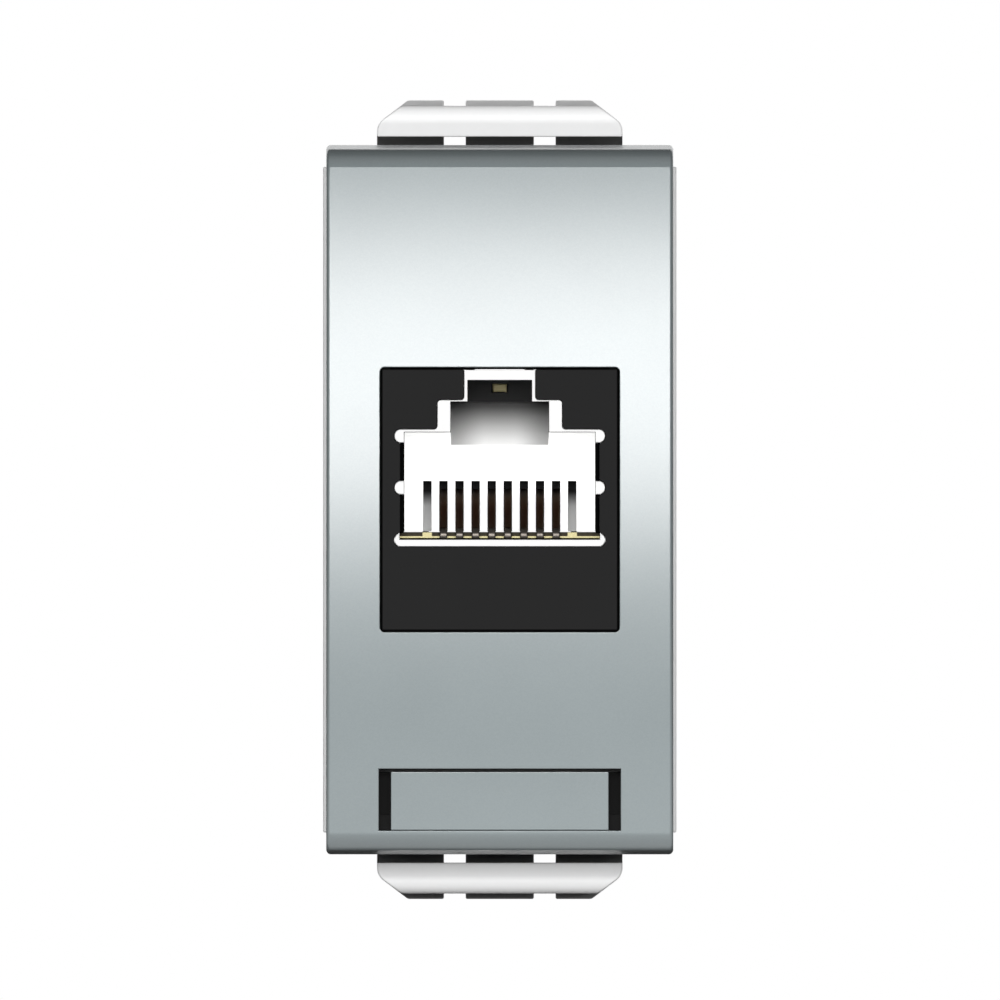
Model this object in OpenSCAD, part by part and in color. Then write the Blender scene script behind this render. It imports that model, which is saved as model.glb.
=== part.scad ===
// One-module data socket: a silver cover, a snap-in carrier and a modular jack with wire terminals.
// Millimetres. X points right, Z up, and the face looks along -Y. The origin is the centre of the
// plane on which the cover rests against the support frame.

/* [Cover] */
// Width of the front cover
cover_w = 22; // [21.5:0.1:25]
// Height of the front cover over its rear rim
cover_h = 45; // [43:0.1:50]
// Depth of the cover from the seat plane to the crown of its face
cover_depth = 8.6; // [8:0.1:11]
// How far the face bulges between its upper and lower crease
crown = 1.6; // [0.8:0.1:2.2]
// Thickness of the face wall
face_wall = 1.4; // [1:0.1:1.8]
// Thickness of the two side walls
side_wall = 1.2; // [0.8:0.1:1.3]
// Height of the rolled edge above and below the face
edge_h = 1.17; // [0.8:0.01:1.5]
// Radius of the rolled edge
edge_r = 1.7; // [1.2:0.1:2.2]
// How far the rear rim stands out above and below
rim_step = 0.25; // [0.1:0.05:0.4]
// Depth over which the cover's flank rises to the rear rim
rim_depth = 4; // [0.5:0.1:5]

/* [Label field] */
// Width of the label tile
label_w = 13.8; // [10:0.1:15]
// Width of the open slot at each end of the tile
label_slot = 0.77; // [0.5:0.01:1]
// Height of the label window
label_h = 3.92; // [3:0.02:5]
// Distance from the cover's lower edge to the label window
label_up = 1.52; // [1.45:0.01:3]
// How far the tile lies below the face
label_sink = 0.1; // [0.06:0.02:0.4]
// Thickness of the tile
label_t = 1.2; // [0.8:0.1:1.6]
// Height of the lug at each end of the tile
label_lug_h = 1; // [0.6:0.1:1.4]

/* [Carrier] */
// How far the carrier shows beside the cover
side_show = 0.2; // [0.1:0.05:0.5]
// How far the cover overhangs the carrier above and below
overhang = 1.4; // [1.2:0.05:2]
// Depth of the carrier behind the seat plane
carrier_depth = 12; // [11:0.5:16]
// Wall thickness of the carrier
carrier_wall = 1.3; // [1:0.1:1.5]
// Wall thickness above and below the bay that holds the jack
bay_wall = 1; // [0.7:0.1:1.1]
// How far the carrier's rim reaches into the cover
nest_depth = 1.8; // [1.2:0.1:2.5]

/* [Clips] */
// Width of each snap clip
clip_w = 15.56; // [13:0.02:17]
// Width of the clip's outer edge, between its sloping corners
clip_top_w = 11.6; // [9:0.1:13]
// Distance of the clip's outer edge from the centre
clip_reach = 25.33; // [24.8:0.01:27]
// Height at which the sloping corners start, measured down from the outer edge
clip_slope = 1.5; // [1:0.05:2]
// Rounding where the sloping corner meets the clip's side
clip_round = 1; // [0.4:0.1:1.4]
// How far the ribs stand beyond the catch bar
rib_over = 0.36; // [0.2:0.02:0.6]
// Height of the catch bar
bar_h = 1.96; // [1.4:0.02:2.2]
// Height of the catch bar's foremost line, measured down from its outer edge
bar_nose = 0.78; // [0.6:0.02:0.9]
// Rounding of the catch bar's front
bar_round = 0.8; // [0.7:0.05:1.2]
// Slope of the catch bar's front below its foremost line, in degrees
bar_draft = 28; // [10:1:35]
// Depth of the catch bar in front of the ribs
bar_depth = 2.8; // [1.8:0.1:3.5]
// Thickness of the support frame's edge, held between cover and catch bar
frame_edge = 2.2; // [2.1:0.1:3]
// Length of the ribs behind the catch bar
rib_run = 5.2; // [4:0.1:5.6]
// Length over which the ribs rise from the catch bar to their full height
rib_rise = 2; // [1:0.1:2.4]
// Length of the ribs' root behind the hollow under the catch bar
rib_root = 1.6; // [1.2:0.1:2]
// Height of the ribs above the rear end of the hollow's roof
rib_neck = 0.76; // [0.5:0.02:1]
// Width of the two slots between the ribs
rib_slot_w = 1.38; // [0.8:0.02:2]
// Distance of each slot from the middle
rib_slot_x = 2.85; // [2:0.05:4]
// Width of the slits that free the clip's tongue
slit_w = 0.6; // [0.4:0.1:0.8]

/* [Cover hooks] */
// Width of each snap hook of the cover
hook_w = 4; // [3:0.1:5]
// Height of the hooks above and below the middle
hook_z = 16; // [15.5:0.1:16.5]
// Thickness of the hook's leg
hook_t = 1; // [0.7:0.1:1.2]
// How far the hook's nose stands out
hook_nose = 0.8; // [0.5:0.1:1.1]
// Where the hook's nose bears, behind the seat plane
hook_y = 4.2; // [3:0.1:6]
// Length of the hook's nose
hook_tip = 1.8; // [1.2:0.1:2.4]

/* [Jack] */
// Width of the jack
jack_w = 14.9; // [14.7:0.05:15.4]
// Height of the jack's face
jack_h = 16.5; // [16.2:0.1:17.5]
// Gap between the jack's face and the cover
window_gap = 0.15; // [0.1:0.01:0.3]
// Corner radius of the cover's window
window_r = 0.3; // [0.1:0.05:0.6]
// How far the jack's face lies below the cover's face
jack_sink = 0.1; // [0:0.05:0.4]
// Thickness of the jack's face wall
jack_face_t = 1.2; // [1:0.05:1.5]
// Thickness of the carrier's lip in front of the jack's shoulder
lip_t = 0.9; // [0.7:0.1:1.2]
// Height of the jack's upper shoulder
shoulder_up = 0.6; // [0.5:0.05:0.8]
// Height of the jack's lower shoulder
shoulder_down = 0.4; // [0.3:0.05:0.6]
// Width of the jack's shoulder on each side
shoulder_side = 0.45; // [0.3:0.05:0.6]
// Length of the jack's main block behind the seat plane
block_rear = 6.9; // [6.5:0.1:8]
// Wall thickness of the jack's hollow under the board
jack_wall = 1.4; // [1:0.1:1.6]
// Width of the latch arm
latch_w = 6; // [4:0.1:8]
// Thickness of the latch arm
latch_t = 0.7; // [0.5:0.05:0.8]
// Height of the latch tooth above the arm
tooth_h = 1.1; // [0.8:0.05:1.3]
// Depth of the fixed lug under the jack
lug_drop = 0.95; // [0.6:0.05:1.2]
// Width of the fixed lug
lug_w = 8; // [5:0.1:10]

/* [Port] */
// Width of the opening in the jack's face
port_w = 12.64; // [12.5:0.02:12.8]
// Upper edge of the opening
port_top = 4.47; // [4.3:0.01:4.6]
// Lower edge of the opening
port_low = -2.98; // [-3.1:0.01:-2.95]
// Width of the upper notch in the jack's face
notch_w = 4.54; // [4.4:0.02:4.7]
// Width of the step below the notch
step_w = 7.94; // [7.6:0.02:8.2]
// Upper edge of the step
step_top = 6.33; // [6.3:0.01:6.5]
// Corner radius of the opening
port_r = 0.22; // [0.1:0.02:0.3]
// Height of the round-ended ears beside the opening
ear_h = 0.86; // [0.7:0.02:0.95]
// How far the ears reach beside the opening
ear_reach = 0.37; // [0.3:0.01:0.42]
// How far the bands between the ears lie behind the jack's face
band_sink = 0.8; // [0.4:0.05:0.9]
// Height of the middle ears' centre
ear_mid = 0.76; // [0.2:0.02:1.2]
// Width of the plug cavity
cavity_w = 12.14; // [12:0.02:12.3]
// Roof of the plug cavity
cavity_top = 4.3; // [4.1:0.01:4.4]
// Width of the plug latch's channel
channel_w = 6.26; // [6:0.02:6.6]
// Roof of the plug latch's channel
channel_top = 6.23; // [6:0.01:6.25]
// Width of the keyway above the channel
key_w = 4.1; // [3.8:0.02:4.2]
// Roof of the keyway
key_top = 7.59; // [7.4:0.01:7.7]
// Wall thickness of the liner
liner_wall = 0.58; // [0.5:0.02:0.62]
// Distance from the jack's face to the rear wall of the plug cavity
cavity_depth = 11.4; // [10:0.1:12]
// Upper edge of the white lip below the contacts
lip_top = -2.54; // [-2.6:0.01:-2.5]

/* [Contacts] */
// Number of contacts
contact_count = 8; // [4:1:8]
// Distance from contact to contact
contact_pitch = 1.02; // [0.98:0.01:1.06]
// Width of each contact
contact_w = 0.48; // [0.36:0.02:0.52]
// Thickness of each contact
contact_t = 0.25; // [0.18:0.01:0.28]
// Rise of the contacts towards the rear, in degrees
contact_rise = 13; // [11:0.5:14]
// How far the contacts reach into the comb
contact_reach = 1.2; // [0.6:0.1:2]
// Length of the soldered leg under the board
contact_leg = 3; // [2:0.1:5]
// Upper end of the comb's slots
comb_slot_top = 1.19; // [1:0.01:1.8]
// Where the channel's ramp starts in the cavity's rear wall
ramp_low = 3.46; // [2.6:0.02:3.9]

/* [Board] */
// Width of the circuit board
board_w = 12.74; // [12.4:0.02:12.76]
// Thickness of the circuit board
board_t = 0.4; // [0.3:0.01:0.42]
// Upper face of the circuit board
board_top = -2.05; // [-2.1:0.01:-2]
// Radius of the holes for the terminals' pins
pin_hole_r = 0.42; // [0.4:0.01:0.5]
// Room under the board for solder
solder_room = 0.5; // [0.42:0.01:0.6]

/* [Terminals] */
// Distance from terminal to terminal in a row
idc_pitch = 3.3; // [3:0.05:3.8]
// Terminals in a row
idc_count = 4; // [2:1:4]
// Distance between the two rows
idc_row = 9.4; // [9:0.1:9.8]
// Length of block before the first and after the last terminal
idc_end = 1.95; // [1.7:0.05:2.5]
// How far the terminal block's rails stay inside the jack's face on each side
idc_inset = 0.25; // [0.1:0.05:0.4]
// Upper edge of the terminal block
idc_top = 8.2; // [7.9:0.05:8.4]
// Sloping shoulder along the outer edge of each rail
idc_slope = 1; // [0.6:0.1:1.4]
// Width of the trough between the rows
trough_w = 4.4; // [4:0.1:5]
// Thickness of the wall that closes the trough in front
idc_wall = 1.2; // [0.9:0.1:1.4]
// Floor of the trough
trough_floor = 1.5; // [1:0.1:2]
// Width of a wire slot
wire_slot_w = 0.9; // [0.7:0.05:1.1]
// Floor of a wire slot
wire_slot_floor = 3.2; // [2.6:0.1:4]
// Width of a terminal blade
blade_w = 2.3; // [2:0.05:2.5]
// Thickness of a terminal blade
blade_t = 0.4; // [0.3:0.02:0.5]
// Upper end of a terminal blade
blade_top = 7.6; // [7:0.1:7.8]
// Width of the slit in a terminal blade
blade_slit = 0.36; // [0.3:0.02:0.5]
// Width of the pin under a terminal blade
blade_pin = 0.6; // [0.5:0.02:0.66]
// Thickness of the shield between the pairs
shield_t = 1.16; // [1.1:0.02:1.4]
// Upper edge of the shield
shield_top = 7.46; // [7.2:0.02:7.6]
// Width of the shield's nose in the terminal block's front wall
shield_nose_w = 0.84; // [0.6:0.02:0.9]
// Height of the shield's nose
shield_nose_h = 0.42; // [0.3:0.02:0.6]
// How far the nose lies below the shield's upper edge
shield_nose_drop = 0.16; // [0.12:0.02:0.3]
// Wall thickness of the wire caps
cap_t = 0.6; // [0.5:0.05:0.8]
// Lower edge of the wire caps
cap_low = 5.2; // [4.6:0.1:5.8]
// Width of the hooks that hold the terminal block to the jack
block_hook_w = 3; // [2:0.1:4]

/* [Clearances] */
// Gap between mouldings that slide into each other
fit_gap = 0.1; // [0.06:0.01:0.14]
// Gap between faces that rest on each other
seat_gap = 0.05; // [0.03:0.01:0.07]
// Gap round the liner's tabs and round the comb pressed into the liner
tab_gap = 0.03; // [0.02:0.01:0.05]

/* [Hidden] */
$fn = 48;
corner_fn = 24;                            // fragments of the port's small corners
cut = 1;                                   // overshoot of cutting bodies
silver = "#aeb8ba";
pale_grey = "#d8d8d8";
black = "#2b2b2b";
white = "#f6f6f4";
gold = "#c9a23f";
board_tan = "#b08d3c";
tin = "#c4c6c8";
pearl = "#e2e4e4";

// Cover
face_top = cover_h / 2 - rim_step;
crease_z = face_top - edge_h;
crown_r = (crease_z * crease_z + crown * crown) / (2 * crown);
crown_y = crown_r - cover_depth;
crease_y = crown - cover_depth;
edge_z = face_top - edge_r;
edge_y = crease_y + edge_r * cos(asin((crease_z - edge_z) / edge_r));
inner_w = cover_w - 2 * side_wall;
carrier_w = cover_w + 2 * side_show;
carrier_h = cover_h - 2 * overhang;
nest_half = carrier_h / 2 + fit_gap;
side_relief = 0.4;                         // the side walls stop short of the seat plane
plate_front = fit_gap - side_relief;
plate_rear = plate_front + carrier_wall;

// Jack and its bay
block_top = jack_h / 2 + shoulder_up;
block_low = -jack_h / 2 - shoulder_down;
window_w = jack_w + 2 * window_gap;
window_h = jack_h + 2 * window_gap;
arm_gap = 0.2;                             // room under the latch arm
latch_z = block_top + arm_gap;
tooth_top = latch_z + latch_t + tooth_h;
catch_top = latch_z + latch_t + fit_gap;
catch_low = block_low - fit_gap;
bay_top = tooth_top + 2 * fit_gap;
bay_low = block_low - lug_drop - fit_gap;
jack_half = jack_w / 2 + shoulder_side;
bay_half_w = jack_half + fit_gap;
bay_side = (bay_half_w + inner_w / 2 - fit_gap) / 2;
lip_front = inner_face(bay_top + bay_wall) + fit_gap;
lip_rear = lip_front + lip_t;
jack_front = outer_face(window_h / 2) + jack_sink;
shoulder_y = lip_rear + seat_gap;
jack_face_rear = jack_front + jack_face_t;
band_y = jack_front + band_sink;

// Port
cavity_half = cavity_w / 2;
ear_half = port_w / 2 + ear_reach;
ear_top = port_top - ear_h / 2;
ear_low = port_low + ear_h / 2;
ears = [ear_top, ear_mid, ear_low];
ear_spaces = [[ear_low, ear_mid], [ear_mid, ear_top]];
liner_half = cavity_half + liner_wall;
liner_front = jack_front + seat_gap;
liner_body = jack_face_rear + seat_gap;
comb_front = jack_front + cavity_depth;
idc_front = block_rear + fit_gap;
comb_rear = idc_front - fit_gap;
liner_rear = block_rear;
key_roof = key_top + liner_wall + seat_gap;

// Board and contacts
board_low = board_top - board_t;
board_mid = (board_top + board_low) / 2;
bend_in = board_t / 2 + seat_gap;
bend_out = bend_in + contact_t;
board_front = liner_body + bend_out + fit_gap;
floor_z = board_low - solder_room;
liner_foot = board_top + seat_gap;
cheek_half = board_w / 2 + seat_gap;
comb_slot_w = contact_w + 2 * tab_gap;
contact_run = (comb_front + contact_reach - board_front) / cos(contact_rise);

// Terminals
idc_len = (idc_count - 1) * idc_pitch + 2 * idc_end;
idc_rear = idc_front + idc_len;
tail_t = 1.6;                              // thickness of the jack's tail under the board
tail_low = floor_z - tail_t;
idc_half = jack_w / 2 - idc_inset;
cap_roof = idc_top + seat_gap;

// Depth of the cover's outer and inner face at a height z
function outer_face(z) = crown_y - sqrt(crown_r * crown_r - z * z);
function inner_face(z) = crown_y - sqrt(pow(crown_r - face_wall, 2) - z * z);
// Place of contact i or comb slot i in a row of n
function row_x(i, n) = (i - (n + 1) / 2) * contact_pitch;
function idc_y(k) = idc_front + idc_end + k * idc_pitch;

// A block between two corners
module block(low, high) {
    translate(low) cube(high - low);
}

// An outline in depth and height, drawn across a width
module across(w) {
    rotate([90, 0, 90]) linear_extrude(w, center = true) children();
}

// An outline as seen from the front, drawn from one depth to another
module from_front(y0, y1) {
    translate([0, y1, 0]) rotate([90, 0, 0]) linear_extrude(y1 - y0) children();
}

// The same on the left and on the right
module both_sides() {
    for (side = [0, 1]) mirror([side, 0, 0]) children();
}

// The same above and below
module above_and_below() {
    for (side = [0, 1]) mirror([0, 0, side]) children();
}

// A rectangle with round corners, centred
module round_rect(w, h, r) {
    square([w - 2 * r, h], center = true);
    square([w, h - 2 * r], center = true);
    for (x = [-1, 1], y = [-1, 1]) translate([x * (w / 2 - r), y * (h / 2 - r)]) circle(r);
}

// Section of the cover's outside: crowned face, rolled edge above and below
module cover_section() {
    difference() {
        intersection() {
            translate([-cover_depth, -face_top]) square([cover_depth, 2 * face_top]);
            translate([crown_y, 0]) circle(crown_r, $fn = 720);
        }
        for (side = [0, 1]) mirror([0, side]) difference() {
            translate([-cover_depth - cut, crease_z]) square([cover_depth + cut + edge_y, edge_h + cut]);
            translate([edge_y, edge_z]) circle(edge_r);
        }
    }
}

// Section of the cover's inside
module cover_hollow() {
    intersection() {
        translate([-cover_depth, -nest_half]) square([cover_depth + cut, 2 * nest_half]);
        translate([crown_y, 0]) circle(crown_r - face_wall, $fn = 720);
    }
}

// Snap hook on the inside of the right side wall, seen from above
module cover_hook() {
    outer = inner_w / 2;
    root = outer + side_wall / 2;
    nose_flat = hook_tip / 4;
    translate([0, 0, -hook_w / 2]) linear_extrude(hook_w) polygon([
        [outer - hook_t, -cover_depth / 2],
        [root, -cover_depth / 2],
        [root, -side_relief],
        [outer - seat_gap, -side_relief],
        [outer - seat_gap, hook_y],
        [outer + hook_nose, hook_y],
        [outer + hook_nose, hook_y + nose_flat],
        [outer - hook_t / 2, hook_y + hook_tip],
        [outer - hook_t, hook_y + hook_tip]
    ]);
}

module front_cover() {
    label_mid = -cover_h / 2 + label_up + label_h / 2;
    color(silver) difference() {
        union() {
            difference() {
                union() {
                    across(cover_w) cover_section();
                    across(cover_w) polygon([
                        [-rim_depth, -face_top], [0, -cover_h / 2], [0, cover_h / 2], [-rim_depth, face_top]
                    ]);
                }
                across(inner_w) cover_hollow();
                block([-cover_w, -side_relief, -nest_half], [cover_w, cut, nest_half]);
            }
            both_sides() for (z = [-hook_z, hook_z]) translate([0, 0, z]) cover_hook();
        }
        from_front(-cover_depth - cut, plate_front) round_rect(window_w, window_h, window_r);
        from_front(-cover_depth - cut, plate_front)
            translate([0, label_mid]) square([label_w + 2 * label_slot, label_h], center = true);
    }
}

// Flat tile set just below the face, with a lug and a wing at each end
module label_plate() {
    low = -cover_h / 2 + label_up + tab_gap;
    high = -cover_h / 2 + label_up + label_h - 2 * fit_gap;
    lug_front = inner_face(low) + seat_gap;
    lug_back = lug_front + label_t;
    lug_half = label_w / 2 + label_slot + label_lug_h;
    leg_x = label_w / 4;
    leg_low = carrier_wall - carrier_h / 2 + fit_gap;
    color(silver) {
        across(label_w) polygon([
            [outer_face(low) + label_sink, low], [outer_face(high) + label_sink, high],
            [lug_back, high], [lug_back, low]
        ]);
        block([-lug_half, lug_front, low], [lug_half, lug_back, low + label_lug_h]);
        block([-lug_half, lug_back - label_t / 2, low], [lug_half, lug_back, high]);
        both_sides() block(
            [leg_x - label_t / 2, lug_front, leg_low],
            [leg_x + label_t / 2, plate_front - seat_gap, leg_low + label_t]
        );
    }
}

// Front view of a clip: straight sides, round shoulders, sloping corners
module clip_outline(low) {
    half = clip_w / 2;
    top_half = clip_top_w / 2;
    shoulder = clip_reach - clip_slope;
    slope = atan2(clip_slope, half - top_half);
    touch = clip_round * tan((90 - slope) / 2);
    polygon([
        [-half, low], [half, low],
        [half, shoulder - touch],
        [half - touch * cos(slope), shoulder + touch * sin(slope)],
        [top_half, clip_reach], [-top_half, clip_reach],
        [-half + touch * cos(slope), shoulder + touch * sin(slope)],
        [-half, shoulder - touch]
    ]);
    for (x = [-1, 1]) translate([x * (half - clip_round), shoulder - touch]) circle(clip_round);
}

// Section of the catch bar: sloping below its foremost line, round above it
module bar_section(low, high, rear) {
    nose = high - bar_nose;
    centre = frame_edge + bar_round;
    touch = [centre - bar_round * cos(bar_draft), nose - bar_round * sin(bar_draft)];
    intersection() {
        translate([frame_edge, low]) square([rear - frame_edge, high - low]);
        union() {
            translate([centre, nose]) circle(bar_round);
            polygon([
                touch, [touch[0] + (touch[1] - low) * tan(bar_draft), low], [rear, low],
                [rear, high], [centre, high], [centre, nose]
            ]);
        }
    }
}

// Catch bar in front of three wedge ribs, on the upper wall
module clip() {
    foot = carrier_h / 2 - carrier_wall / 2;
    bar_top = clip_reach - rib_over;
    bar_low = bar_top - bar_h;
    rib_front = frame_edge + bar_depth;
    rib_rear = rib_front + rib_run;
    hollow_rear = rib_rear - rib_root;
    slope_fall = (clip_reach - carrier_h / 2) / (rib_run - rib_rise);
    roof_rear = carrier_h / 2 + rib_root * slope_fall - rib_neck;
    difference() {
        intersection() {
            from_front(rib_front, rib_rear) clip_outline(foot);
            across(clip_w) polygon([
                [rib_front, foot], [rib_front, bar_top], [rib_front + rib_rise, clip_reach],
                [rib_rear, carrier_h / 2], [rib_rear, foot]
            ]);
        }
        across(2 * clip_w) polygon([
            [rib_front - cut, carrier_h / 2], [rib_front - cut, bar_low], [rib_front, bar_low],
            [hollow_rear, roof_rear], [hollow_rear, carrier_h / 2]
        ]);
        both_sides() block(
            [rib_slot_x - rib_slot_w / 2, rib_front - cut, carrier_h / 2],
            [rib_slot_x + rib_slot_w / 2, rib_rear + cut, clip_reach + cut]
        );
    }
    intersection() {
        from_front(frame_edge, rib_front + seat_gap) clip_outline(foot);
        across(clip_w) bar_section(bar_low, bar_top, rib_front + seat_gap);
    }
}

// Slits that free the clip's tongue from the upper wall: one in front, one on each side
module clip_slits() {
    tongue_half = clip_w / 2 + fit_gap;
    slit_front = plate_rear + fit_gap;
    slit_rear = frame_edge + bar_depth + rib_run;
    low = carrier_h / 2 - carrier_wall - cut;
    high = carrier_h / 2 + cut / 2;
    block([-tongue_half, slit_front, low], [tongue_half, slit_front + slit_w, high]);
    both_sides() block([tongue_half, slit_front, low], [tongue_half + slit_w, slit_rear, high]);
}

module carrier() {
    half_w = carrier_w / 2;
    half_h = carrier_h / 2;
    hollow_w = half_w - carrier_wall;
    hollow_h = half_h - carrier_wall;
    nest_w = inner_w / 2 - fit_gap;
    leg_in = inner_w / 2 - hook_t - fit_gap;
    leg_half = hook_w / 2 + fit_gap;
    color(pale_grey) {
        difference() {
            union() {
                block([-half_w, plate_front, -half_h], [half_w, carrier_depth, half_h]);
                difference() {
                    block([-nest_w, -nest_depth, -half_h], [nest_w, plate_rear, half_h]);
                    block([carrier_wall - nest_w, -nest_depth - cut, carrier_wall - half_h],
                          [nest_w - carrier_wall, plate_front, half_h - carrier_wall]);
                }
                block([-bay_side, lip_front, bay_low - bay_wall],
                      [bay_side, plate_rear, bay_top + bay_wall]);
            }
            block([-hollow_w, plate_rear, -hollow_h], [hollow_w, carrier_depth + cut, hollow_h]);
            block([-bay_half_w, lip_rear, bay_low], [bay_half_w, plate_front, bay_top]);
            block([-bay_half_w, lip_rear, catch_low], [bay_half_w, plate_rear + cut, catch_top]);
            from_front(lip_front - cut, lip_rear + cut)
                square([window_w + 2 * tab_gap, window_h + 2 * tab_gap], center = true);
            above_and_below() clip_slits();
            both_sides() for (z = [-hook_z, hook_z]) translate([0, 0, z]) {
                block([leg_in, -nest_depth - cut, -leg_half], [hollow_w, plate_rear + cut, leg_half]);
                block([hollow_w - cut, hook_y - fit_gap, -leg_half],
                      [half_w + cut, hook_y + hook_tip, leg_half]);
            }
        }
        above_and_below() clip();
    }
}

// Stepped opening of the port, with round-ended ears on both sides
module port_outline() {
    offset(r = -port_r, $fn = corner_fn) offset(r = 2 * port_r, $fn = corner_fn)
    offset(r = -port_r, $fn = corner_fn) union() {
        translate([-port_w / 2, port_low]) square([port_w, port_top - port_low]);
        translate([-step_w / 2, port_low]) square([step_w, step_top - port_low]);
        translate([-notch_w / 2, port_low]) square([notch_w, jack_h - port_low]);
        for (z = ears) translate([0, z]) round_rect(2 * ear_half, ear_h, ear_h / 2 - tab_gap);
    }
}

// Keyway, latch channel and plug cavity, each grown by a wall
module cavity_outline(wall, low) {
    for (part = [[cavity_half, cavity_top], [channel_w / 2, channel_top], [key_w / 2, key_top]])
        translate([-part[0] - wall, low]) square([2 * (part[0] + wall), part[1] + wall - low]);
}

// Side view of the latch arm: root, tooth with its lead-in, finger tab
module latch_section() {
    root = shoulder_y + fit_gap;
    over = latch_z + latch_t;
    bite = plate_front - fit_gap;
    tab = plate_rear + 2 * tooth_h;
    polygon([
        [root, block_top - seat_gap], [root + latch_t, block_top - seat_gap],
        [root + latch_t + arm_gap, latch_z], [tab + latch_t, latch_z],
        [tab + latch_t + tooth_h, latch_z + tooth_h], [tab + latch_t + tooth_h, over + tooth_h],
        [tab + tooth_h, over + tooth_h], [tab, over], [bite, over], [bite, tooth_top],
        [bite - latch_t, tooth_top], [bite - latch_t - 2 * tooth_h, over], [root + latch_t, over],
        [root, latch_z]
    ]);
}

module jack_housing() {
    half = jack_w / 2;
    rail_out = board_w / 2;
    rail_in = rail_out - liner_wall;
    rib_front = board_front + contact_leg + fit_gap;
    lug_rear = plate_front - fit_gap;
    color(black) {
        difference() {
            union() {
                block([-half, jack_front, -jack_h / 2], [half, shoulder_y + cut, jack_h / 2]);
                block([-jack_half, shoulder_y, block_low], [jack_half, block_rear, block_top]);
                block([-idc_half, block_rear - cut, tail_low], [idc_half, idc_rear, floor_z]);
                block([-lug_w / 2, lug_rear - 2 * lug_drop, block_low - lug_drop],
                      [lug_w / 2, lug_rear, block_low + cut]);
            }
            from_front(jack_front - cut, liner_body + 2 * seat_gap) port_outline();
            from_front(jack_face_rear, block_rear + cut) cavity_outline(liner_wall + fit_gap, floor_z);
            block([jack_wall - jack_half, plate_rear, block_low + jack_wall],
                  [jack_half - jack_wall, block_rear + cut, tail_low]);
        }
        both_sides() {
            for (space = ear_spaces) block(
                [cavity_half, band_y, space[0] + ear_h / 2],
                [port_w / 2 + tab_gap, jack_face_rear, space[1] - ear_h / 2]
            );
            block([rail_in, board_front, floor_z - seat_gap], [rail_out, idc_rear, board_low]);
        }
        block([-rail_out, rib_front, floor_z - seat_gap], [rail_out, rib_front + jack_wall, board_low]);
        across(latch_w) latch_section();
    }
}

// Tabs and lip of the liner that show in the jack's face
module liner_rim() {
    difference() {
        offset(delta = -tab_gap) port_outline();
        cavity_outline(0, lip_top);
        translate([-cheek_half, lip_top]) square([2 * cheek_half, ear_low + ear_h / 2 - lip_top]);
        for (space = ear_spaces) translate([-ear_half, space[0] + ear_h / 2 - tab_gap])
            square([2 * ear_half, space[1] - space[0] - ear_h + 2 * tab_gap]);
        translate([-notch_w, key_roof]) square([2 * notch_w, jack_h]);
    }
}

module port_liner() {
    cheek_low = port_low + tab_gap;
    color(white) {
        from_front(liner_front, liner_body + seat_gap) liner_rim();
        from_front(liner_body, liner_rear) difference() {
            cavity_outline(liner_wall, liner_foot);
            cavity_outline(0, liner_foot - cut);
        }
        both_sides() block([cheek_half, liner_body, cheek_low], [liner_half, board_front, cavity_top]);
    }
}

// Rear wall of the cavity: ten slots for the contacts and the ramp of the latch channel
module contact_comb() {
    half = cavity_half - tab_gap;
    slots = contact_count + 2;
    ramp_r = channel_top - tab_gap - ramp_low;
    throat = comb_slot_top - comb_slot_w;
    foot_y = comb_front + contact_reach;
    color(white) difference() {
        union() {
            block([-half, comb_front, liner_foot], [half, comb_rear, cavity_top - tab_gap]);
            block([tab_gap - channel_w / 2, comb_front, liner_foot],
                  [channel_w / 2 - tab_gap, comb_rear, channel_top - tab_gap]);
        }
        across(channel_w) difference() {
            translate([comb_front - cut, ramp_low]) square([ramp_r + cut, ramp_r + cut]);
            translate([comb_front + ramp_r, ramp_low]) circle(ramp_r);
        }
        for (i = [2:slots - 1]) translate([row_x(i, slots), 0, 0])
            block([-comb_slot_w / 2, comb_front - cut, liner_foot - cut],
                  [comb_slot_w / 2, comb_rear + cut, comb_slot_top]);
        for (i = [1, slots]) translate([row_x(i, slots), 0, 0]) across(comb_slot_w) polygon([
            [comb_front - cut, liner_foot - cut], [foot_y, liner_foot - cut], [foot_y, liner_foot],
            [comb_rear, throat], [comb_rear + cut, throat], [comb_rear + cut, comb_slot_top],
            [comb_front - cut, comb_slot_top]
        ]);
    }
}

module contact_board() {
    color(board_tan) difference() {
        block([-board_w / 2, board_front, board_low], [board_w / 2, idc_rear, board_top]);
        for (x = [-1, 1], k = [0:idc_count - 1])
            translate([x * idc_row / 2, idc_y(k), board_low - cut])
                cylinder(r = pin_hole_r, h = board_t + 2 * cut);
    }
}

// Spring wire: a leg under the board, a bend round its front edge, a long arm up to the comb
module contact(i) {
    reach = 2 * bend_out;
    color(gold) translate([row_x(i, contact_count), board_front, board_mid]) across(contact_w) {
        translate([0, -bend_out]) square([contact_leg, contact_t]);
        intersection() {
            difference() {
                circle(bend_out);
                circle(bend_in);
            }
            translate([-reach, -reach]) square([reach, 2 * reach]);
            rotate(contact_rise) translate([-reach, -reach]) square([reach, 2 * reach]);
        }
        rotate(contact_rise) translate([0, bend_in]) square([contact_run, contact_t]);
    }
}

// Front view of the terminal block: two rails with sloping shoulders, a trough between them
module idc_section() {
    shoulder = idc_top - idc_slope;
    edge = idc_half - idc_slope;
    difference() {
        polygon([
            [-idc_half, liner_foot], [idc_half, liner_foot], [idc_half, shoulder],
            [edge, idc_top], [-edge, idc_top], [-idc_half, shoulder]
        ]);
        translate([-trough_w / 2, trough_floor]) square([trough_w, idc_top]);
    }
}

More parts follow.
